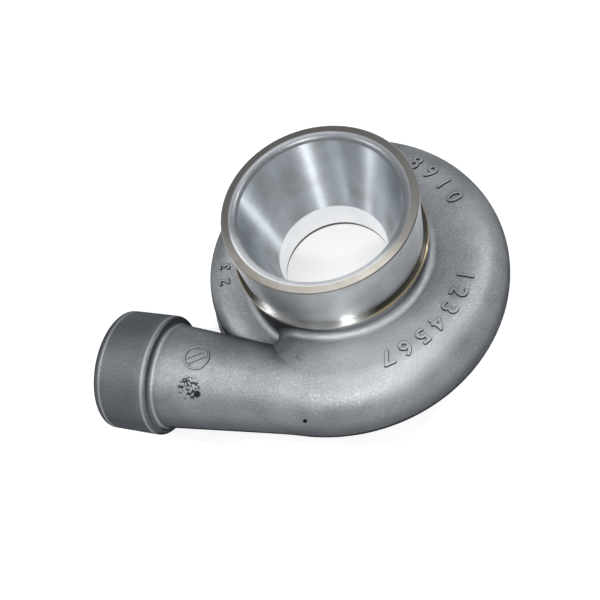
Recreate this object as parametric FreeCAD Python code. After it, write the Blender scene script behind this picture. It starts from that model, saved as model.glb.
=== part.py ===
import FreeCAD, Part
import math
import os
from FreeCAD import Vector

# Compressor housing of a turbocharger: one aluminium casting with machined faces.
# Sizes are millimetres and degrees. The wheel turns about Z, the machined back face
# lies at z = 0, the inlet opens upwards and the outlet pipe points along -X.

# Inlet, machined
housing_height = 95.0
band_radius = 50.8
band_length = 32.0
rim_width = 4.1
rim_chamfer = 0.5
lip_radius = 4.0
shoulder_step = 2.7
shoulder_width = 2.6
shoulder_chamfer = 0.4
relief_width = 0.9
relief_depth = 0.5

# Bore, machined: cone, throat and the contour that the wheel runs in
throat_radius = 31.1
cone_length = 46.7
contour_width = 10.2
contour_depth = 6.5
diffuser_gap = 5.0
diffuser_overlap = 5.5

# Back, machined: register for the backplate and the flange that it bolts to
register_ledge = 7.0
register_chamfer = 1.0
seat_rise = 1.0
flange_width = 10.0
flange_height = 20.0
flange_fillet = 1.5
screw_count = 8
screw_inset = 5.0
screw_radius = 2.5
screw_depth = 12.0
screw_turn = 11.0

# Cast scroll, from its small end under the tongue to the full section
wall = 4.5
scroll_floor = 13.0
tongue_angle = 10.0
full_passage_radius = 17.5
tongue_share = 0.06
scroll_base_radius = 57.2
scroll_growth = 1.3
passage_inset = 0.3
passage_corner = 0.8
section_flat = 0.3
closing_share = 0.1
section_count = 22

# Cast web between the scroll and the neck under the inlet band
neck_gap = 4.7
web_slope = 10.0
root_fillet = 4.0
root_overlap = 0.4
skin_overlap = 7.5

# Tongue: the web beside the outlet pipe leans over, late and fast, and sinks into the pipe
tongue_length = 26.0
tongue_end_slope = 70.0
tongue_lean_power = 3.0
tongue_sink = 1.0
tongue_section_count = 8

# Outlet pipe and its hose collar
pipe_length = 79.0
pipe_start_slope = 2.3
pipe_start_bend = 14.0
pipe_end_radius = 28.9
outlet_wall = 1.9
collar_length = 31.0
collar_step = 4.7
collar_front_rounding = 2.0
collar_rear_rounding = 2.4
collar_root_fillet = 3.0
outlet_chamfer = 1.0

# Margins of the cuts and of the outlines' corners
cut_margin = 1.0
joint_tolerance = 1e-6

# Sizes and places that follow from the ones above
rim_inner_radius = band_radius - rim_width
shoulder_radius = band_radius + shoulder_step
shoulder_top = housing_height - band_length
shoulder_foot = shoulder_top - shoulder_width
exducer_radius = throat_radius + contour_width
passage_inner_radius = scroll_base_radius + passage_inset
passage_floor = scroll_floor + wall
diffuser_reach = passage_inner_radius + diffuser_overlap
seat_height = passage_floor + seat_rise
diffuser_wall = seat_height + diffuser_gap
register_radius = diffuser_reach + register_ledge
flange_radius = register_radius + flange_width
screw_circle_radius = flange_radius - screw_inset
neck_radius = scroll_base_radius - neck_gap
full_azimuth = -90.0
scroll_span = 360.0 - tongue_angle
pipe_height = scroll_floor + full_passage_radius + wall
outlet_bore_radius = pipe_end_radius - outlet_wall
collar_radius = pipe_end_radius + collar_step


def at(azimuth, radius, height):
    """Point at a radius and height in the half plane that stands at an azimuth."""
    angle = math.radians(azimuth)
    return Vector(radius * math.cos(angle), radius * math.sin(angle), height)


def smooth(share):
    """Ease from 0 to 1 with level ends."""
    share = min(max(share, 0.0), 1.0)
    return share * share * (3.0 - 2.0 * share)


def blend(first, last, share):
    """Value between two others."""
    return first + (last - first) * share


def passage_radius(share):
    """Radius of the scroll's passage: its area over its own centre radius grows evenly."""
    filled = tongue_share + (1.0 - tongue_share) * share
    full_ratio = full_passage_radius ** 2 / (scroll_base_radius + scroll_growth * full_passage_radius)
    ratio = full_ratio * filled
    half = scroll_growth * ratio / 2.0
    return half + math.sqrt(half * half + ratio * scroll_base_radius)


def centre_radius(share):
    """Distance of the passage's centre from the wheel axis."""
    return scroll_base_radius + scroll_growth * passage_radius(share)


def scroll_azimuth(share):
    """Azimuth of a section, from the small end at 0 to the full section at 1."""
    return full_azimuth + scroll_span * (1.0 - share)


def bent(azimuth, centre, radius, start, end):
    """Arc about a centre (radius, height) in a radial plane, between two angles in it."""
    points = []
    for angle in (start, (start + end) / 2.0, end):
        turn = math.radians(angle)
        points.append(at(azimuth, centre[0] + radius * math.cos(turn), centre[1] + radius * math.sin(turn)))
    return Part.Arc(*points).toShape()


def joined(pieces):
    """Closed wire through arcs and corner points, with straight edges from each to the next."""
    edges = []
    for index, piece in enumerate(pieces):
        following = pieces[(index + 1) % len(pieces)]
        start = piece if isinstance(piece, Vector) else piece.Vertexes[-1].Point
        end = following if isinstance(following, Vector) else following.Vertexes[0].Point
        if not isinstance(piece, Vector):
            edges.append(piece)
        if start.distanceToPoint(end) > joint_tolerance:
            edges.append(Part.LineSegment(start, end).toShape())
    return Part.Wire(edges)


def skin_section(azimuth, centre, tube, slope, neck):
    """Outside of the casting in an upright plane: tube, sloping web and root fillet."""
    lean = math.radians(slope)
    crest = (centre[0] - tube * math.sin(lean), centre[1] + tube * math.cos(lean))
    root_radius = neck + root_fillet - root_overlap
    root_height = crest[1] - (crest[0] - root_radius) * math.tan(lean) + root_fillet / math.cos(lean)
    return joined([
        at(azimuth, neck - skin_overlap, scroll_floor),
        bent(azimuth, centre, tube, -90.0, 0.0),
        bent(azimuth, centre, tube, 0.0, 90.0 + slope),
        bent(azimuth, (root_radius, root_height), root_fillet, slope - 90.0, -180.0),
        at(azimuth, neck - skin_overlap, root_height),
    ])


def passage_section(azimuth, centre, radius, closing):
    """Hollow of the scroll in a radial plane: open to the diffuser, or closing to a round."""
    middle = passage_floor + radius
    inner = blend(passage_inner_radius, centre - radius - section_flat, closing)
    corner = blend(passage_corner, radius - section_flat, closing)
    return joined([
        bent(azimuth, (centre, middle), radius, -90.0, 0.0),
        bent(azimuth, (centre, middle), radius, 0.0, 90.0),
        bent(azimuth, (inner + radius, middle), radius, 90.0, 180.0),
        bent(azimuth, (inner + corner, passage_floor + corner), corner, -180.0, -90.0),
    ])


def loft(sections):
    """Smooth solid through closed sections."""
    return Part.makeLoft(sections, True, False)


def turned(profile, base, axis):
    """Solid of revolution from a list of corner points and arcs."""
    return Part.Face(joined(profile)).revolve(base, axis, 360.0)


def shares(count):
    """Evenly spaced values from 0 to 1."""
    return [index / (count - 1.0) for index in range(count)]


def scroll_skin():
    """Outside of the scroll with the web that carries it on the neck."""
    sections = []
    for share in shares(section_count):
        tube = passage_radius(share) + wall
        centre = (centre_radius(share), scroll_floor + tube)
        sections.append(skin_section(scroll_azimuth(share), centre, tube, web_slope, neck_radius))
    return loft(sections)


def pipe_radius(along):
    """Outside radius of the outlet pipe: it leaves at the scroll's slope and bends into its taper."""
    first = math.tan(math.radians(pipe_start_slope))
    growth = pipe_end_radius - full_passage_radius - wall
    straight = pipe_length - collar_root_fillet
    taper = (growth - first * pipe_start_bend / 2.0) / (straight - pipe_start_bend / 2.0)
    bend = min(along, pipe_start_bend)
    bent_growth = first * bend + (taper - first) * bend * bend / (2.0 * pipe_start_bend)
    return full_passage_radius + wall + bent_growth + taper * (along - bend)


def tongue_skin():
    """Web beside the outlet pipe: it leans over from the full section down to the small end."""
    sections = []
    for share in shares(tongue_section_count):
        along = share * tongue_length
        slope = blend(web_slope, tongue_end_slope, share ** tongue_lean_power)
        tube = pipe_radius(along) - tongue_sink * share
        neck = math.sqrt(neck_radius ** 2 - along ** 2)
        section = skin_section(full_azimuth, (centre_radius(1.0), pipe_height), tube, slope, neck)
        section.translate(Vector(-along, 0.0, 0.0))
        sections.append(section)
    return loft(sections)


def pipe_point(along, across):
    """Point of the outlet pipe's profile: distance along the pipe and from its axis."""
    return Vector(-along, -centre_radius(1.0), pipe_height + across)


def pipe_bend(along, across, radius, start, end):
    """Arc in the pipe's profile about a centre along and across it, between two angles."""
    points = []
    for angle in (start, (start + end) / 2.0, end):
        turn = math.radians(angle)
        points.append(pipe_point(along + radius * math.cos(turn), across + radius * math.sin(turn)))
    return Part.Arc(*points).toShape()


def pipe_start():
    """Curve in the pipe's profile from the full section to the even taper."""
    rise = pipe_start_bend / 2.0 * math.tan(math.radians(pipe_start_slope))
    curve = Part.BezierCurve()
    curve.setPoles([
        pipe_point(0.0, pipe_radius(0.0)),
        pipe_point(pipe_start_bend / 2.0, pipe_radius(0.0) + rise),
        pipe_point(pipe_start_bend, pipe_radius(pipe_start_bend)),
    ])
    return curve.toShape()


def outlet_skin():
    """Tapered pipe with the hose collar at its end."""
    end = pipe_length + collar_length
    root = pipe_end_radius + collar_root_fillet
    profile = [
        pipe_point(0.0, 0.0),
        pipe_start(),
        pipe_bend(pipe_length - collar_root_fillet, root, collar_root_fillet, -90.0, 0.0),
        pipe_bend(pipe_length + collar_rear_rounding, collar_radius - collar_rear_rounding,
                  collar_rear_rounding, 180.0, 90.0),
        pipe_bend(end - collar_front_rounding, collar_radius - collar_front_rounding,
                  collar_front_rounding, 90.0, 0.0),
        pipe_point(end, 0.0),
    ]
    return turned(profile, pipe_point(0.0, 0.0), Vector(1, 0, 0))


def inlet_skin():
    """Neck, shoulder ring and machined hose band under the inlet rim."""
    profile = [
        at(0.0, 0.0, scroll_floor),
        at(0.0, neck_radius, scroll_floor),
        at(0.0, neck_radius, shoulder_foot),
        at(0.0, shoulder_radius - shoulder_chamfer, shoulder_foot),
        at(0.0, shoulder_radius, shoulder_foot + shoulder_chamfer),
        at(0.0, shoulder_radius, shoulder_top - shoulder_chamfer),
        at(0.0, shoulder_radius - shoulder_chamfer, shoulder_top),
        at(0.0, band_radius, shoulder_top),
        at(0.0, band_radius - relief_depth, shoulder_top + relief_width / 2.0),
        at(0.0, band_radius, shoulder_top + relief_width),
        at(0.0, band_radius, housing_height - rim_chamfer),
        at(0.0, band_radius - rim_chamfer, housing_height),
        at(0.0, 0.0, housing_height),
    ]
    return turned(profile, Vector(0, 0, 0), Vector(0, 0, 1))


def back_flange():
    """Round flange around the register, with a small fillet on both edges."""
    flange = Part.makeCylinder(flange_radius, flange_height)
    return flange.makeFillet(flange_fillet, [edge for edge in flange.Edges if len(edge.Vertexes) == 1])


def wheel_contour():
    """Quarter ellipse that the wheel runs in, from the throat out to the diffuser wall."""
    height = diffuser_wall + contour_depth
    centre = at(0.0, exducer_radius, height)
    far_end = at(0.0, 2.0 * exducer_radius - throat_radius, height)
    ellipse = Part.Ellipse(far_end, at(0.0, exducer_radius, height + contour_depth), centre)
    return Part.ArcOfEllipse(ellipse, math.pi, 1.5 * math.pi).toShape()


def rounded_lip():
    """Arc at the rim that runs tangent into the inlet cone."""
    across = rim_inner_radius - throat_radius
    down = cone_length - lip_radius
    lean = math.atan2(across, down) - math.asin(lip_radius / math.hypot(across, down))
    centre = (rim_inner_radius, housing_height - lip_radius)
    return bent(0.0, centre, lip_radius, 90.0, 180.0 - math.degrees(lean))


def machined_bore():
    """Everything that the lathe opens: inlet cone, throat, wheel contour, diffuser, register."""
    profile = [
        at(0.0, 0.0, housing_height + cut_margin),
        at(0.0, rim_inner_radius, housing_height + cut_margin),
        rounded_lip(),
        at(0.0, throat_radius, housing_height - cone_length),
        wheel_contour(),
        at(0.0, diffuser_reach, diffuser_wall),
        at(0.0, diffuser_reach, seat_height),
        at(0.0, register_radius, seat_height),
        at(0.0, register_radius, register_chamfer),
        at(0.0, register_radius + register_chamfer + cut_margin, -cut_margin),
        at(0.0, 0.0, -cut_margin),
    ]
    return turned(profile, Vector(0, 0, 0), Vector(0, 0, 1))


def scroll_passage():
    """Hollow of the scroll from the tongue to the full section."""
    sections = []
    for share in shares(section_count):
        closing = smooth((share - 1.0 + closing_share) / closing_share)
        azimuth = scroll_azimuth(share)
        sections.append(passage_section(azimuth, centre_radius(share), passage_radius(share), closing))
    return loft(sections)


def outlet_passage():
    """Round hollow that widens from the full section to the mouth of the outlet."""
    end = pipe_length + collar_length
    profile = [
        pipe_point(0.0, 0.0),
        pipe_point(0.0, full_passage_radius),
        pipe_point(end, outlet_bore_radius),
        pipe_point(end + cut_margin, outlet_bore_radius + outlet_chamfer),
        pipe_point(end + cut_margin, 0.0),
    ]
    return turned(profile, pipe_point(0.0, 0.0), Vector(1, 0, 0))


def clamp_screw_holes():
    """Blind tapping holes in the flange, evenly spaced around the register."""
    holes = []
    for index in range(screw_count):
        foot = at(screw_turn + index * 360.0 / screw_count, screw_circle_radius, 0.0)
        holes.append(Part.makeCylinder(screw_radius, screw_depth, foot))
    return holes


def compressor_housing():
    """The whole casting with its machining."""
    skins = [scroll_skin(), tongue_skin(), outlet_skin(), back_flange()]
    casting = inlet_skin().fuse(skins)
    hollows = [machined_bore(), scroll_passage(), outlet_passage()] + clamp_screw_holes()
    return casting.cut(hollows).removeSplitter()


os.makedirs("parts", exist_ok=True)
compressor_housing().exportStep("parts/compressor_housing.step")
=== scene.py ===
"""Compressor housing of a turbocharger: finishes, raised marks and a plain studio.

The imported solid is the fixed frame, in metres, with the wheel axis on Z and the
outlet pipe along -X. This script sorts the solid's faces into its machined and
cast surfaces, gives each its finish, adds the small raised marks of the casting,
and sets up the floor, the lamps and the camera.
"""

from __future__ import annotations

import logging
import math
from abc import ABC, abstractmethod
from dataclasses import dataclass, field
from enum import Enum
from typing import Any, Union

import bpy
import numpy as np
from mathutils import Euler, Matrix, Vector
from mathutils.bvhtree import BVHTree


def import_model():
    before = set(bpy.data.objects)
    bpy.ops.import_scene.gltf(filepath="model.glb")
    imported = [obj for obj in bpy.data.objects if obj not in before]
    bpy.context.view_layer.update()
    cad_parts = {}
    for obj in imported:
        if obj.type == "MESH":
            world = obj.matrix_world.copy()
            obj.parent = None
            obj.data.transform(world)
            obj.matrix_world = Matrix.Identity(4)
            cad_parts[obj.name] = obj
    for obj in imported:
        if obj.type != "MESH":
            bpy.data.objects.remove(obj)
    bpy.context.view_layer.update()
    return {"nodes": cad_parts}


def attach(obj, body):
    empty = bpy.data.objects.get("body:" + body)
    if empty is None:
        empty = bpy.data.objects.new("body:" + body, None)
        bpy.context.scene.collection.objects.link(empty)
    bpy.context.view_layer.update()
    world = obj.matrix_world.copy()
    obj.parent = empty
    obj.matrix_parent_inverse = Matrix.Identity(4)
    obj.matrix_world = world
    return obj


LOG = logging.getLogger("compressor_housing")
NODE = "compressor_housing"
BODY = "root"
FLANK = "flank"
Colour = tuple[float, float, float]
Place = tuple[float, float, float]
Value = Union["Wire", float]


class Surface(Enum):
    """The surfaces of the housing, numbered as their finishes' slots on the solid."""

    CAST = 0
    CONE = 1
    THROAT = 2
    RIM = 3
    BAND = 4
    SHOULDER = 5
    RELIEF = 6
    BACK = 7
    MOUTH = 8
    LIP = 9


@dataclass(frozen=True)
class Wire:
    """One value socket, with arithmetic that adds Math nodes to its material."""

    recipe: Recipe
    socket: bpy.types.NodeSocket

    def _with(self, operation: str, first: Value, second: Value) -> Wire:
        """Adds a Math node.

        Args:
            operation: The Math node's operation.
            first: Its first value.
            second: Its second value.

        Returns:
            The node's result.
        """
        return self.recipe.node("ShaderNodeMath", {"operation": operation}, {0: first, 1: second})

    def __add__(self, other: Value) -> Wire:
        """Sum."""
        return self._with("ADD", self, other)

    __radd__ = __add__

    def __sub__(self, other: Value) -> Wire:
        """Difference."""
        return self._with("SUBTRACT", self, other)

    def __rsub__(self, other: Value) -> Wire:
        """Difference, with this wire taken away."""
        return self._with("SUBTRACT", other, self)

    def __mul__(self, other: Value) -> Wire:
        """Product."""
        return self._with("MULTIPLY", self, other)

    __rmul__ = __mul__

    def __abs__(self) -> Wire:
        """Distance from zero."""
        return self._with("ABSOLUTE", self, 0.0)

    def eased(self, low: float, high: float) -> Wire:
        """Smooth step.

        Args:
            low: The value that gives 0.
            high: The value that gives 1.

        Returns:
            The eased value.
        """
        settings = {"interpolation_type": "SMOOTHSTEP"}
        return self.recipe.node("ShaderNodeMapRange", settings, {0: self, 1: low, 2: high})


class Recipe:
    """The node tree of one finish, or of the surroundings."""

    def __init__(self, owner: bpy.types.Material | bpy.types.World) -> None:
        """Starts with an empty tree.

        Args:
            owner: The material or the surroundings that the tree belongs to.
        """
        self.owner = owner
        owner.use_nodes = True
        self.tree = owner.node_tree
        self.tree.nodes.clear()

    def node(
        self, kind: str, settings: dict[str, Any], inputs: dict[Any, Any], output: int | str = 0
    ) -> Wire:
        """Adds a node.

        Args:
            kind: The node's type.
            settings: Its own settings, set before its sockets.
            inputs: A value or a wire for each socket, by name or number.
            output: The output to hand back, by name or number.

        Returns:
            The wire of that output.
        """
        made = self.tree.nodes.new(kind)
        for key, value in settings.items():
            setattr(made, key, value)
        for key, value in inputs.items():
            if isinstance(value, Wire):
                self.tree.links.new(value.socket, made.inputs[key])
            else:
                made.inputs[key].default_value = value
        return Wire(self, made.outputs[output])

    def place(self) -> Wire:
        """Point on the surface in the frame of the solid, in metres."""
        return self.node("ShaderNodeTexCoord", {}, {}, "Object")

    def axis_of(self, point: Wire, name: str) -> Wire:
        """One coordinate of a point."""
        return self.node("ShaderNodeSeparateXYZ", {}, {0: point}, name)

    def grain(self, point: Wire, size: float, detail: float = 2.0) -> Wire:
        """Noise from 0 to 1.

        Args:
            point: Where it is read.
            size: The size of its lumps in metres.
            detail: How many finer layers it has.

        Returns:
            The noise.
        """
        return self.node("ShaderNodeTexNoise", {}, {"Vector": point, "Scale": 1.0 / size, "Detail": detail})

    def distance(self, point: Wire, centre: Place) -> Wire:
        """Distance of a point from a fixed place."""
        return self.node("ShaderNodeVectorMath", {"operation": "DISTANCE"}, {0: point, 1: centre}, "Value")

    def mixed(self, share: Value, first: Wire | Colour, second: Wire | Colour) -> Wire:
        """Colour between two others.

        Args:
            share: 0 for the first, 1 for the second.
            first: The first colour.
            second: The second colour.

        Returns:
            The mixed colour.
        """
        pair = [(*c, 1.0) if isinstance(c, tuple) else c for c in (first, second)]
        settings = {"data_type": "RGBA"}
        return self.node("ShaderNodeMix", settings, {0: share, 6: pair[0], 7: pair[1]}, 2)

    def layered(self, colour: Wire, layers: list[tuple[Value, Colour]]) -> Wire:
        """Colour with tints laid over it, one after another.

        Args:
            colour: The colour below.
            layers: The share and the tint of each layer.

        Returns:
            The colour on top.
        """
        for share, tint in layers:
            colour = self.mixed(share, colour, tint)
        return colour

    def bumped(self, height: Wire, depth: float, under: Wire | None = None) -> Wire:
        """Normal of a surface with small relief.

        Args:
            height: The relief from 0 to 1.
            depth: How deep 1 is, in metres.
            under: The normal below it.

        Returns:
            The normal.
        """
        inputs = {"Strength": 1.0, "Distance": depth, "Height": height}
        if under is not None:
            inputs["Normal"] = under
        return self.node("ShaderNodeBump", {}, inputs)

    def finish(self, inputs: dict[str, Any]) -> bpy.types.Material:
        """Closes the tree with a Principled shader.

        Args:
            inputs: A value or a wire for each of the shader's sockets.

        Returns:
            The material.
        """
        shader = self.node("ShaderNodeBsdfPrincipled", {}, inputs)
        return self.ended("ShaderNodeOutputMaterial", shader)

    def ended(self, kind: str, shader: Wire) -> bpy.types.Material | bpy.types.World:
        """Ends the tree with its output node.

        Args:
            kind: The output node's type.
            shader: What it shows.

        Returns:
            The material or the surroundings.
        """
        end = self.tree.nodes.new(kind)
        self.tree.links.new(shader.socket, end.inputs["Surface"])
        return self.owner


@dataclass(frozen=True)
class Ramp:
    """Smooth step of a value: nothing at its start, its share from its end on."""

    start: float
    end: float
    share: float = 1.0

    def of(self, value: Wire) -> Wire:
        """The step for one wire."""
        return value.eased(self.start, self.end) * self.share


@dataclass(frozen=True)
class Spot:
    """Round place on the part that fades in from its rim to its core."""

    centre: Place
    rim: float
    core: float
    share: float = 1.0

    def at(self, recipe: Recipe, point: Wire) -> Wire:
        """How much of the spot is at a point."""
        return Ramp(self.rim, self.core, self.share).of(recipe.distance(point, self.centre))


@dataclass(frozen=True)
class Patch:
    """Field of another tint that fades in along one axis, with an uneven border."""

    tint: Colour
    start: float
    end: float
    axis: str = "Y"
    sway: float = 0.012
    both_sides: bool = False

    def at(self, recipe: Recipe, point: Wire, cloud: Wire) -> Wire:
        """How much of the patch is at a point.

        Args:
            recipe: The material's recipe.
            point: The point.
            cloud: The noise that sways its border.

        Returns:
            The patch's share.
        """
        place = recipe.axis_of(point, self.axis) + self.sway * (cloud - 0.5)
        return Ramp(self.start, self.end).of(abs(place) if self.both_sides else place)


@dataclass(frozen=True)
class CastFinish:
    """Shot-blasted skin of the casting, with ink dabs and blemishes, a darker outlet collar, painted shade
    on its sides, underside and mouth bead, and painted highlights on its edges and crest.
    """

    pale: Colour = (0.37, 0.385, 0.395)
    dark: Colour = (0.27, 0.28, 0.295)
    # pale fleck colour of the grain, also the colour of the painted highlights
    pale_fleck_and_highlight: Colour = (0.66, 0.68, 0.70)
    # dark tint of the grain's pits, the scar and the darker collar, also used for painted shade
    dark_and_shade_tint: Colour = (0.085, 0.09, 0.10)
    # near-black tint of the painted shade on the underside and on the marks' flanks
    painted_shade_tint: Colour = (0.030, 0.031, 0.034)
    ink_and_pit_shade: Colour = (0.010, 0.010, 0.012)
    edge_tint: Colour = (0.14, 0.145, 0.15)
    cloud_size: float = 0.024
    cloud_detail: float = 3.0
    grain_size: float = 0.0011
    grain_depth: float = 0.00016
    lump_size: float = 0.0020
    lump_depth: float = 0.00009
    clouds: Ramp = Ramp(0.30, 0.70)
    sparks: Ramp = Ramp(0.55, 0.75, 0.18)
    hollows: Ramp = Ramp(0.48, 0.28, 0.22)
    # painted shade: the skin grows darker as it turns sideways and down
    side_painted_shade: Ramp = Ramp(0.80, 0.22, 0.72)
    # painted shade: a near-black band where the skin curls under
    underside_painted_shade: Ramp = Ramp(0.02, -0.10, 0.85)
    pipe: Ramp = Ramp(-0.041, -0.045)
    collar: Ramp = Ramp(-0.070, -0.088)
    # how much darker the skin is on the outlet collar
    collar_darkening: float = 0.66
    # bead: shapes the mouth bead's bump; its share paints shade on the bead's outer band
    bead: Ramp = Ramp(-0.1066, -0.1100, 0.6)
    bead_depth: float = 0.0014
    # painted highlights: pale lines along the collar's mouth, rear edge and foot
    painted_highlight_edges: tuple[float, ...] = (-0.1062, -0.0812, -0.0772)
    painted_highlight_line: Ramp = Ramp(0.0011, 0.0, 0.42)
    # painted highlight: a pale patch on the scroll's crest
    painted_highlight_spot: Spot = Spot((0.034, -0.048, 0.053), 0.050, 0.012, 0.44)
    # painted shade on the flanks of the raised marks
    flank_painted_shade: float = 0.92
    stamp: Spot = Spot((-0.0566, -0.0930, 0.0588), 0.0076, 0.00456)
    blot: Spot = Spot((-0.0521, -0.0950, 0.0570), 0.0024, 0.0014, 0.92)
    # the pit is not modelled: its shade is painted as a near-black spot
    pit: Spot = Spot((0.0047, -0.0978, 0.0473), 0.0014, 0.00098)
    scar: Spot = Spot((-0.0041, -0.0666, 0.0534), 0.0046, 0.00368)
    dab_size: float = 0.0013
    stamp_dabs: Ramp = Ramp(0.49, 0.54, 0.92)
    scar_dabs: Ramp = Ramp(0.4, 0.6, 0.35)
    roughness: float = 0.50
    cloud_rough: float = 0.14
    spark_rough: Ramp = Ramp(0.50, 0.75, -0.12)
    collar_rough: float = 0.08

    def build(self, name: str, mark: bool) -> bpy.types.Material:
        """Makes the material.

        Args:
            name: Its name.
            mark: Whether it is for a raised mark, with painted shade on its flanks, and not for the skin.

        Returns:
            The material.
        """
        recipe = Recipe(bpy.data.materials.new(name))
        point = recipe.place()
        along = recipe.axis_of(point, "X")
        up = recipe.axis_of(recipe.node("ShaderNodeTexCoord", {}, {}, "Normal"), "Z")
        cloud = recipe.grain(point, self.cloud_size, self.cloud_detail)
        speck = recipe.grain(point, self.grain_size)
        pipe = self.pipe.of(recipe.axis_of(point, "Y"))
        collar = self.collar.of(along) * pipe
        layers = [
            (self.sparks.of(speck), self.pale_fleck_and_highlight),
            (self.hollows.of(speck), self.dark_and_shade_tint),
            # painted shade on faces that turn sideways or down
            (self.side_painted_shade.of(up), self.dark_and_shade_tint),
            # painted shade on the underside
            (self.underside_painted_shade.of(up), self.painted_shade_tint),
            # darker skin on the outlet collar
            (collar * self.collar_darkening, self.dark_and_shade_tint),
            # painted shade on the outer band of the mouth bead
            (self.bead.of(along), self.dark_and_shade_tint),
        ]
        # painted highlights: pale lines along the collar's edges
        for edge in self.painted_highlight_edges:
            layers.append((self.painted_highlight_line.of(abs(along - edge)) * pipe, self.pale_fleck_and_highlight))
        # painted highlight on the scroll's crest
        layers.append((self.painted_highlight_spot.at(recipe, point), self.pale_fleck_and_highlight))
        if mark:
            # painted shade on the marks' flanks
            flank = recipe.node("ShaderNodeAttribute", {"attribute_name": FLANK}, {}, "Fac")
            layers.append((flank * self.flank_painted_shade, self.painted_shade_tint))
        else:
            layers.extend(self.blemishes(recipe, point))
        colour = recipe.mixed(self.clouds.of(cloud), self.dark, self.pale)
        rough = self.roughness + self.cloud_rough * cloud + self.spark_rough.of(speck)
        normal = recipe.bumped(along.eased(self.bead.end, self.bead.start), self.bead_depth)
        normal = recipe.bumped(recipe.grain(point, self.lump_size), self.lump_depth, normal)
        return recipe.finish({
            "Base Color": recipe.layered(colour, layers),
            "Metallic": 1.0,
            "Roughness": rough + self.collar_rough * collar,
            "Specular Tint": (*self.edge_tint, 1.0),
            "Normal": recipe.bumped(speck, self.grain_depth, normal),
        })

    def blemishes(self, recipe: Recipe, point: Wire) -> list[tuple[Wire, Colour]]:
        """Layers of the scar, the ink dabs and the pit, whose shade is painted as a near-black spot.

        Args:
            recipe: The material's recipe.
            point: The point on the surface.

        Returns:
            The share and the tint of each layer.
        """
        dab = recipe.grain(point, self.dab_size)
        return [
            (self.scar.at(recipe, point) * self.scar_dabs.of(dab), self.dark_and_shade_tint),
            (self.stamp.at(recipe, point) * self.stamp_dabs.of(dab), self.ink_and_pit_shade),
            (self.blot.at(recipe, point), self.ink_and_pit_shade),
            # painted shade of the pit
            (self.pit.at(recipe, point), self.ink_and_pit_shade),
        ]


@dataclass(frozen=True)
class TurnedFinish:
    """Bright metal left by the lathe, with fine rings round the wheel axis.

    Its rings run one below another along the axis, or one inside another on a flat face.
    Where it is brushed, its highlights are drawn out across the rings.
    """

    bright: Colour
    tinted: Colour
    roughness: float
    ring_pitch: float
    ring_depth: float
    flat: bool = False
    # a field of another tint; on several surfaces this is painted shade or a painted reflection
    patch: Patch | None = None
    metallic: float = 1.0
    brushed: float = 0.0
    brush_turn: float = 0.25
    cloud_size: float = 0.016
    cloud_detail: float = 3.0
    clouds: Ramp = Ramp(0.35, 0.68)
    cloud_rough: Ramp = Ramp(0.4, 0.7, 0.03)
    ring_tint: Colour = (0.30, 0.30, 0.31)
    rings: Ramp = Ramp(0.55, 0.85, 0.25)
    fleck_size: float = 0.0022
    fleck_tint: Colour = (0.90, 0.90, 0.90)
    flecks: Ramp = Ramp(0.62, 0.75, 0.08)
    fleck_rough: Ramp = Ramp(0.5, 0.8, 0.03)

    def build(self, name: str) -> bpy.types.Material:
        """Makes the material.

        Args:
            name: Its name.

        Returns:
            The material.
        """
        recipe = Recipe(bpy.data.materials.new(name))
        point = recipe.place()
        line = recipe.node("ShaderNodeCombineXYZ", {}, {"Z": self.across(recipe, point)})
        ring = recipe.grain(line, self.ring_pitch)
        cloud = recipe.grain(point, self.cloud_size, self.cloud_detail)
        fleck = recipe.grain(point, self.fleck_size)
        layers = [(self.rings.of(ring), self.ring_tint), (self.flecks.of(fleck), self.fleck_tint)]
        if self.patch is not None:
            layers.insert(0, (self.patch.at(recipe, point, cloud), self.patch.tint))
        colour = recipe.mixed(self.clouds.of(cloud), self.bright, self.tinted)
        return recipe.finish({
            "Base Color": recipe.layered(colour, layers),
            "Metallic": self.metallic,
            "Roughness": self.roughness + self.cloud_rough.of(cloud) + self.fleck_rough.of(fleck),
            "Normal": recipe.bumped(ring, self.ring_depth),
            "Anisotropic": self.brushed,
            "Anisotropic Rotation": self.brush_turn,
        })

    def across(self, recipe: Recipe, point: Wire) -> Wire:
        """Distance across the rings: height, or radius on a flat face.

        Args:
            recipe: The material's recipe.
            point: The point on the surface.

        Returns:
            The distance in metres.
        """
        if not self.flat:
            return recipe.axis_of(point, "Z")
        level = {0: point, 1: (1.0, 1.0, 0.0)}
        spoke = recipe.node("ShaderNodeVectorMath", {"operation": "MULTIPLY"}, level)
        return recipe.node("ShaderNodeVectorMath", {"operation": "LENGTH"}, {0: spoke}, "Value")


@dataclass(frozen=True)
class FloorFinish:
    """White floor that keeps the object's shadow.

    Its glow is seen by the camera, in mirrors and through glass, and lights nothing else.
    """

    white: float = 0.50
    lift: float = 0.67

    def build(self, name: str) -> bpy.types.Material:
        """Makes the material.

        Args:
            name: Its name.

        Returns:
            The material.
        """
        recipe = Recipe(bpy.data.materials.new(name))
        seen = recipe.node("ShaderNodeLightPath", {}, {}, "Is Camera Ray")
        mirrored = recipe.node("ShaderNodeLightPath", {}, {}, "Is Glossy Ray")
        through = recipe.node("ShaderNodeLightPath", {}, {}, "Is Transmission Ray")
        lift = (seen + mirrored + through) * self.lift
        tint = (self.white, self.white, self.white, 1.0)
        paint = recipe.node("ShaderNodeBsdfDiffuse", {}, {"Color": tint})
        glow = recipe.node("ShaderNodeEmission", {}, {"Strength": lift})
        both = recipe.node("ShaderNodeAddShader", {}, {0: paint, 1: glow})
        return recipe.ended("ShaderNodeOutputMaterial", both)


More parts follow.
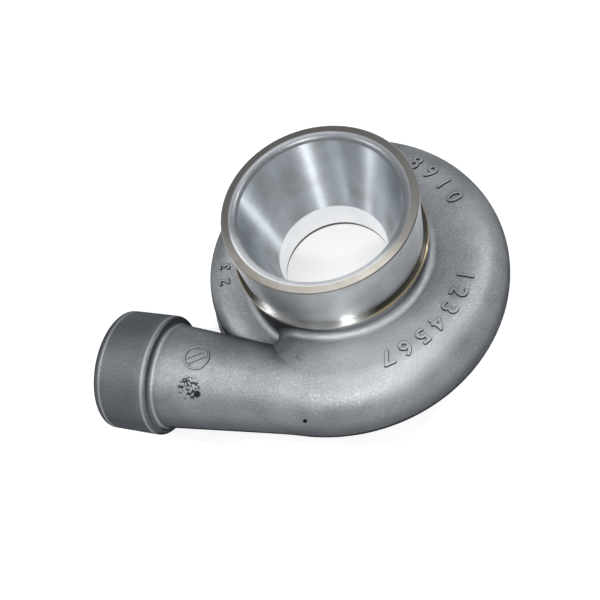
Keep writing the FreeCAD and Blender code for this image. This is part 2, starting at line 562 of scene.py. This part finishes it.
@dataclass(frozen=True)
class HousingSkin:
    """Sizes that tell the machined faces of the housing from the cast ones."""

    rim_height: float = 0.095
    rim_radius: float = 0.0467
    lip_foot: float = 0.0912
    throat_top: float = 0.0483
    band_radius: float = 0.0508
    shoulder_radius: float = 0.0537
    shoulder_top: float = 0.063
    shoulder_foot: float = 0.0604
    relief_width: float = 0.0009
    diffuser_wall: float = 0.0235
    diffuser_reach: float = 0.063
    register_reach: float = 0.072
    register_top: float = 0.0186
    mouth: float = -0.110
    near: float = 0.0003
    hair: float = 0.0001
    edge: float = 0.0008
    flat: float = 0.9
    sloping: float = 0.3
    leaning: float = 0.1

    def sort(self, centres: np.ndarray, normals: np.ndarray) -> np.ndarray:
        """Finds each face's surface.

        Args:
            centres: Face centres, one row each.
            normals: Face normals, one row each.

        Returns:
            The number of each face's surface.
        """
        x, y, z = centres.T
        up = normals[:, 2]
        radius = np.hypot(x, y)
        inward = (normals[:, 0] * x + normals[:, 1] * y) < -self.leaning * radius
        near, hair, top = self.near, self.hair, self.shoulder_top
        bore = radius < self.rim_radius + near
        throat = (z <= self.throat_top + near) & (z >= self.diffuser_wall - near)
        rim = (z > self.rim_height - self.edge) & (radius >= self.rim_radius) & (up > self.sloping)
        outside = radius > self.band_radius - self.edge
        outer = outside & (radius < self.band_radius + near)
        turned = radius < self.shoulder_radius
        ledge = (np.abs(z - top) < hair) & (up > self.flat) & (radius > self.band_radius - near) & turned
        groove = outer & (z < top + self.relief_width) & (z > top - near)
        wall = (np.abs(z - self.diffuser_wall) < near) & (np.abs(up) > self.flat)
        register = (radius < self.register_reach) & (z < self.register_top) & (inward | (up < -self.flat))
        found = (
            (Surface.CONE, bore & (z > self.throat_top - near)),
            (Surface.LIP, bore & (z > self.lip_foot) & (radius < self.rim_radius)),
            (Surface.THROAT, bore & throat),
            (Surface.RIM, rim & (radius < self.band_radius + near)),
            (Surface.BAND, outer & (z > top - near) & ~inward & (up < self.sloping)),
            (Surface.SHOULDER, outside & turned & (z < top + hair) & (z > self.shoulder_foot - hair)),
            (Surface.RELIEF, ledge | groove),
            (Surface.BACK, wall & (radius < self.diffuser_reach)),
            (Surface.BACK, register & (radius > self.diffuser_reach - near)),
            (Surface.BACK, (z < near) & (up < -self.flat)),
            (Surface.MOUTH, x < self.mouth + near),
        )
        kind = np.full(len(x), Surface.CAST.value)
        for surface, faces in found:
            kind[faces] = surface.value
        return kind


TURNED = {
    Surface.CONE: TurnedFinish(
        (0.62, 0.66, 0.70), (0.49, 0.51, 0.53), 0.35, ring_pitch=0.0006, ring_depth=0.00001, brushed=1.0,
    ),
    Surface.THROAT: TurnedFinish(
        (0.92, 0.93, 0.94), (0.86, 0.88, 0.90), 0.30, ring_pitch=0.0005, ring_depth=0.00002,
        # painted shade: a near-black band along the throat's lower edge
        patch=Patch((0.05, 0.05, 0.05), 0.0311, 0.0306, "Z", sway=0.0),
    ),
    Surface.RIM: TurnedFinish(
        (0.40, 0.375, 0.335), (0.32, 0.295, 0.255), 0.28, ring_pitch=0.0004, ring_depth=0.00002, flat=True,
        # painted shade: the rim's far side is darker
        patch=Patch((0.20, 0.19, 0.175), -0.040, -0.012),
    ),
    Surface.BAND: TurnedFinish(
        (0.54, 0.56, 0.575), (0.42, 0.435, 0.45), 0.28, ring_pitch=0.0005, ring_depth=0.00001, brushed=0.9,
    ),
    Surface.SHOULDER: TurnedFinish(
        (0.50, 0.50, 0.48), (0.40, 0.39, 0.37), 0.32, ring_pitch=0.0005, ring_depth=0.00001, brushed=1.0,
        # painted reflection: tan on the shoulder's left and right, grey at the front
        patch=Patch((0.46, 0.37, 0.22), 0.022, 0.040, "X", both_sides=True),
    ),
    Surface.RELIEF: TurnedFinish(
        (0.56, 0.56, 0.54), (0.42, 0.41, 0.38), 0.28, ring_pitch=0.0005, ring_depth=0.00001, brushed=0.9,
        # painted shade: the groove under the band is near-black at its left and right
        patch=Patch((0.09, 0.083, 0.070), 0.024, 0.036, "X", both_sides=True),
    ),
    Surface.BACK: TurnedFinish(
        (0.70, 0.705, 0.71), (0.60, 0.605, 0.61), 0.24, ring_pitch=0.0005, ring_depth=0.00003, flat=True,
    ),
    Surface.MOUTH: TurnedFinish(
        (0.62, 0.625, 0.63), (0.54, 0.545, 0.55), 0.30, ring_pitch=0.0008, ring_depth=0.00003,
    ),
    Surface.LIP: TurnedFinish(
        (0.80, 0.82, 0.84), (0.72, 0.74, 0.76), 0.36, ring_pitch=0.0004, ring_depth=0.00001, metallic=0.7,
        # painted shade: the lip's far side is darker
        patch=Patch((0.25, 0.26, 0.275), -0.034, -0.014),
    ),
}


@dataclass(frozen=True)
class Housing:
    """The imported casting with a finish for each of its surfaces."""

    skin: HousingSkin = HousingSkin()
    cast: CastFinish = CastFinish()
    brush_reach: float = 0.1

    def dress(self, housing: bpy.types.Object) -> dict[str, int]:
        """Gives every face of the casting its finish.

        The mesh's texture space is centred on the wheel axis, so that the brushed finishes
        take their direction round that axis.

        Args:
            housing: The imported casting.

        Returns:
            How many faces each surface has.
        """
        mesh = housing.data
        mesh.use_auto_texspace = False
        mesh.texspace_location = (0.0, 0.0, 0.0)
        mesh.texspace_size = (self.brush_reach, self.brush_reach, self.brush_reach)
        count = len(mesh.polygons)
        centres = np.zeros(count * 3)
        normals = np.zeros(count * 3)
        mesh.polygons.foreach_get("center", centres)
        mesh.polygons.foreach_get("normal", normals)
        kinds = self.skin.sort(centres.reshape(-1, 3), normals.reshape(-1, 3))
        mesh.materials.clear()
        mesh.materials.append(self.cast.build("cast_skin", False))
        for surface, finish in TURNED.items():
            mesh.materials.append(finish.build("turned_" + surface.name.lower()))
        mesh.polygons.foreach_set("material_index", kinds.astype(np.int32))
        mesh.update()
        return {surface.name.lower(): int((kinds == surface.value).sum()) for surface in Surface}


class Ground:
    """The casting's skin, seen from a height above it."""

    start: float = 0.3

    def __init__(self, housing: bpy.types.Object) -> None:
        """Reads the skin.

        Args:
            housing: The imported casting.
        """
        mesh = housing.data
        points = [vertex.co.copy() for vertex in mesh.vertices]
        faces = [tuple(polygon.vertices) for polygon in mesh.polygons]
        self.tree = BVHTree.FromPolygons(points, faces)

    def raised(self, x: float, y: float, lift: float) -> Vector:
        """Point over the skin.

        Args:
            x: Where it is on the part, along X.
            y: Where it is on the part, along Y.
            lift: How far out it is from the skin.

        Returns:
            The point in the frame.
        """
        start = Vector((x, y, self.start))
        place, normal, _, _ = self.tree.ray_cast(start, Vector((0.0, 0.0, -1.0)))
        return place + normal * lift


@dataclass
class Form:
    """A raised mark in the making: its points, its faces and how far down its flank each point lies."""

    points: list[Vector] = field(default_factory=list)
    faces: list[tuple[int, ...]] = field(default_factory=list)
    flanks: list[float] = field(default_factory=list)


@dataclass(frozen=True)
class RaisedMark(ABC):
    """Something small that the mould leaves on the casting."""

    name: str

    @abstractmethod
    def form(self, ground: Ground) -> Form:
        """The mark's shape on the casting."""

    def build(self, ground: Ground, material: bpy.types.Material) -> bpy.types.Object:
        """Makes the mark, which rides on the housing.

        Args:
            ground: The casting's skin.
            material: The finish of the marks.

        Returns:
            The finished piece.
        """
        form = self.form(ground)
        mesh = bpy.data.meshes.new(self.name)
        mesh.from_pydata([tuple(point) for point in form.points], [], form.faces)
        mesh.materials.append(material)
        # the flank attribute drives the painted shade on the marks' flanks
        mesh.attributes.new(FLANK, "FLOAT", "POINT").data.foreach_set("value", form.flanks)
        mesh.shade_smooth()
        mesh.update()
        piece = bpy.data.objects.new(self.name, mesh)
        bpy.context.scene.collection.objects.link(piece)
        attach(piece, BODY)
        return piece


@dataclass(frozen=True)
class CastNumbers(RaisedMark):
    """A row of plain raised numbers that runs clockwise round the casting, tops outwards."""

    digits: str
    first_azimuth: float
    last_azimuth: float
    radius: float
    height: float = 0.0086
    type_scale: float = 1.42
    weight: float = 0.00030
    rise: float = 0.0011
    sunk: float = 0.0005
    draft: float = 0.00036
    flank_share: float = 0.4
    voxel: float = 0.00018
    softening: int = 3

    @property
    def thickness(self) -> float:
        """The digits' whole thickness, the sunk part too."""
        return self.rise + self.sunk

    def solid_digit(self, digit: str) -> bpy.types.Mesh:
        """Makes one thick digit with even, slightly rounded faces.

        Args:
            digit: The digit.

        Returns:
            Its mesh, in its own plane.
        """
        curve = bpy.data.curves.new(self.name + "_digit", "FONT")
        curve.body = digit
        curve.size = self.height * self.type_scale
        curve.align_x = "CENTER"
        curve.align_y = "CENTER"
        curve.extrude = self.thickness / 2.0
        blank = bpy.data.objects.new(self.name + "_digit", curve)
        solid = bpy.data.objects.new(self.name + "_digit", self.evaluated(blank))
        bpy.data.objects.remove(blank)
        remesh = solid.modifiers.new("even", "REMESH")
        remesh.mode = "VOXEL"
        remesh.voxel_size = self.voxel
        soft = solid.modifiers.new("soft", "SMOOTH")
        soft.iterations = self.softening
        even = self.evaluated(solid)
        bpy.data.objects.remove(solid)
        return even

    @staticmethod
    def evaluated(blank: bpy.types.Object) -> bpy.types.Mesh:
        """Puts an object into the scene and reads its final mesh.

        Args:
            blank: An object that isn't in the scene yet.

        Returns:
            Its mesh, with its modifiers applied.
        """
        bpy.context.scene.collection.objects.link(blank)
        bpy.context.view_layer.update()
        return bpy.data.meshes.new_from_object(blank.evaluated_get(bpy.context.evaluated_depsgraph_get()))

    def spread(self, vertex: bpy.types.MeshVertex) -> Vector:
        """Moves a digit's point out, to give the digit its weight and its flanks their draft.

        Args:
            vertex: The point as the typeface gives it.

        Returns:
            The moved point, in the digit's own plane.
        """
        above_foot = vertex.co.z + self.thickness / 2.0
        spread = self.weight + self.draft * max(0.0, 1.0 - above_foot / self.thickness)
        return vertex.co + Vector((vertex.normal.x, vertex.normal.y, 0.0)) * spread

    def laid(self, point: Vector, azimuth: float, ground: Ground) -> Vector:
        """Lays one point of a digit on the casting.

        Args:
            point: The point in the digit's own plane.
            azimuth: Where the digit stands, in degrees.
            ground: The casting's skin.

        Returns:
            The point in the frame.
        """
        radius = self.radius + point.y
        angle = math.radians(azimuth) - point.x / self.radius
        lift = point.z + (self.rise - self.sunk) / 2.0
        return ground.raised(radius * math.cos(angle), radius * math.sin(angle), lift)

    def flank(self, point: Vector) -> float:
        """How far down a digit's flank a point lies, from 0 to 1."""
        below_top = self.thickness / 2.0 - point.z
        return min(1.0, max(0.0, below_top / (self.flank_share * self.rise)))

    def form(self, ground: Ground) -> Form:
        """Lays the row of numbers on the casting.

        Args:
            ground: The casting's skin.

        Returns:
            The row's form.
        """
        form = Form()
        step = (self.last_azimuth - self.first_azimuth) / max(len(self.digits) - 1, 1)
        for index, digit in enumerate(self.digits):
            azimuth = self.first_azimuth + step * index
            even = self.solid_digit(digit)
            points = [self.spread(vertex) for vertex in even.vertices]
            base = len(form.points)
            form.points.extend(self.laid(point, azimuth, ground) for point in points)
            form.flanks.extend(self.flank(point) for point in points)
            form.faces.extend(tuple(base + corner for corner in face.vertices) for face in even.polygons)
        return form


@dataclass(frozen=True)
class CastBadge(RaisedMark):
    """Round raised ring with two bars across it, as a mould insert leaves."""

    name: str = "mould_mark"
    x: float = -0.0560
    y: float = -0.0769
    radius: float = 0.0073
    ring_width: float = 0.0009
    rise: float = 0.0008
    sunk: float = 0.0004
    bar_offset: float = 0.0016
    bar_half: float = 0.0007
    bar_turn: float = 35.0
    steepness: float = 1.8
    turns: int = 96
    layers: int = 40

    def relief(self, x: float, y: float) -> float:
        """Height of the mark at a point of its own plane.

        Args:
            x: Across the mark.
            y: Up the mark.

        Returns:
            The height above its foot, from 0 to 1.
        """
        reach = math.hypot(x, y)
        ring = 1.0 - min(1.0, abs(reach - self.radius + self.ring_width) / self.ring_width)
        turn = math.radians(self.bar_turn)
        off = abs(y * math.cos(turn) - x * math.sin(turn))
        bar = 1.0 - min(1.0, abs(off - self.bar_offset) / self.bar_half)
        bar = bar if reach < self.radius - 2.0 * self.ring_width else 0.0
        return min(1.0, self.steepness * max(ring, bar))

    def form(self, ground: Ground) -> Form:
        """Lays the badge on the casting, ring by ring from its middle.

        Args:
            ground: The casting's skin.

        Returns:
            The badge's form.
        """
        form = Form()
        for layer in range(self.layers + 1):
            reach = self.radius * layer / self.layers
            for turn in range(self.turns):
                angle = 2.0 * math.pi * turn / self.turns
                x, y = reach * math.cos(angle), reach * math.sin(angle)
                relief = self.relief(x, y)
                lift = relief * (self.rise + self.sunk) - self.sunk
                form.points.append(ground.raised(self.x + x, self.y + y, lift))
                form.flanks.append(1.0 - relief)
        for layer in range(self.layers):
            low, high = layer * self.turns, (layer + 1) * self.turns
            for turn in range(self.turns):
                after = (turn + 1) % self.turns
                form.faces.append((low + turn, high + turn, high + after, low + after))
        return form


@dataclass(frozen=True)
class Lamp:
    """A round lamp that looks at a point of the part."""

    name: str
    azimuth: float
    elevation: float
    distance: float
    width: float
    power: float
    target: Place = (0.0, -0.02, 0.05)

    def build(self) -> None:
        """Makes the lamp and turns it to its target."""
        lamp = bpy.data.lights.new(self.name, "AREA")
        lamp.shape = "DISK"
        lamp.size = self.width
        lamp.energy = self.power
        holder = bpy.data.objects.new(self.name, lamp)
        bpy.context.scene.collection.objects.link(holder)
        azimuth, elevation = math.radians(self.azimuth), math.radians(self.elevation)
        level = math.cos(elevation)
        towards = Vector((math.cos(azimuth) * level, math.sin(azimuth) * level, math.sin(elevation)))
        holder.location = Vector(self.target) + towards * self.distance
        holder.rotation_euler = towards.to_track_quat("Z", "Y").to_euler()


@dataclass(frozen=True)
class Studio:
    """Pale floor, lamps, plain surroundings and the camera."""

    floor: FloorFinish = FloorFinish()
    floor_half: float = 14.0
    floor_height: float = -0.0002
    low_light: Colour = (0.98, 0.98, 0.98)
    side_light: Colour = (0.24, 0.25, 0.265)
    top_light: Colour = (0.74, 0.76, 0.78)
    low_to_side: Ramp = Ramp(0.07, 0.19)
    side_to_top: Ramp = Ramp(0.62, 0.90)
    camera_place: Place = (0.096043, -0.184340, 0.372043)
    camera_turn: Place = (27.4814, 12.6488, 12.5980)
    lens: float = 41.0022
    sensor: float = 36.0
    clip_start: float = 0.01
    lamps: tuple[Lamp, ...] = (
        Lamp("key", -71.0, 54.0, distance=0.55, width=0.045, power=1.25),
        Lamp("over", 95.0, 76.0, distance=0.80, width=0.42, power=1.3),
        Lamp("left", -159.0, 43.0, distance=0.75, width=0.05, power=1.3),
        Lamp("right", 38.0, 41.0, distance=0.75, width=0.05, power=1.4),
    )

    def build_floor(self) -> None:
        """Lays the floor."""
        half = self.floor_half
        corners = [(-half, -half), (half, -half), (half, half), (-half, half)]
        mesh = bpy.data.meshes.new("floor")
        mesh.from_pydata([(x, y, self.floor_height) for x, y in corners], [], [(0, 1, 2, 3)])
        mesh.materials.append(self.floor.build("floor_white"))
        floor = bpy.data.objects.new("floor", mesh)
        bpy.context.scene.collection.objects.link(floor)

    def build_surround(self) -> None:
        """Sets the light from all around: pale at the horizon, dimmer above, pale overhead."""
        recipe = Recipe(bpy.data.worlds.new("surround"))
        height = recipe.axis_of(recipe.node("ShaderNodeTexCoord", {}, {}, "Generated"), "Z")
        colour = recipe.mixed(self.low_to_side.of(height), self.low_light, self.side_light)
        colour = recipe.mixed(self.side_to_top.of(height), colour, self.top_light)
        sky = recipe.node("ShaderNodeBackground", {}, {"Color": colour, "Strength": 1.0})
        bpy.context.scene.world = recipe.ended("ShaderNodeOutputWorld", sky)

    def build_camera(self) -> None:
        """Places the camera at the photograph's angle."""
        camera = bpy.data.cameras.new("camera")
        camera.sensor_width = self.sensor
        camera.lens = self.lens
        camera.clip_start = self.clip_start
        holder = bpy.data.objects.new("camera", camera)
        bpy.context.scene.collection.objects.link(holder)
        holder.location = self.camera_place
        holder.rotation_euler = Euler([math.radians(angle) for angle in self.camera_turn], "XYZ")
        bpy.context.scene.camera = holder

    def build(self) -> None:
        """Sets up everything around the part."""
        self.build_floor()
        self.build_surround()
        for lamp in self.lamps:
            lamp.build()
        self.build_camera()
        bpy.context.scene.view_settings.view_transform = "Standard"


MARKS: tuple[RaisedMark, ...] = (
    CastNumbers("scroll_numbers", "1234567", first_azimuth=-7.7, last_azimuth=-56.1, radius=0.0738),
    CastNumbers("rear_numbers", "8910", first_azimuth=60.0, last_azimuth=33.0, radius=0.0735),
    CastNumbers(
        "side_numbers", "23", first_azimuth=-163.0, last_azimuth=-171.5, radius=0.0672, height=0.0062,
    ),
    CastBadge(),
)


def main() -> None:
    """Builds the finishes, the raised marks and the studio, in that order."""
    logging.basicConfig(level=logging.INFO, format="%(name)s: %(message)s")
    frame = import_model()
    housing = frame["nodes"][NODE]
    for surface, faces in Housing().dress(housing).items():
        LOG.info("surface %s: %d faces", surface, faces)
    ground = Ground(housing)
    mark_skin = CastFinish().build("cast_marks", True)
    for mark in MARKS:
        piece = mark.build(ground, mark_skin)
        LOG.info("piece %s: %d faces", piece.name, len(piece.data.polygons))
    Studio().build()


if __name__ == "__main__":
    main()
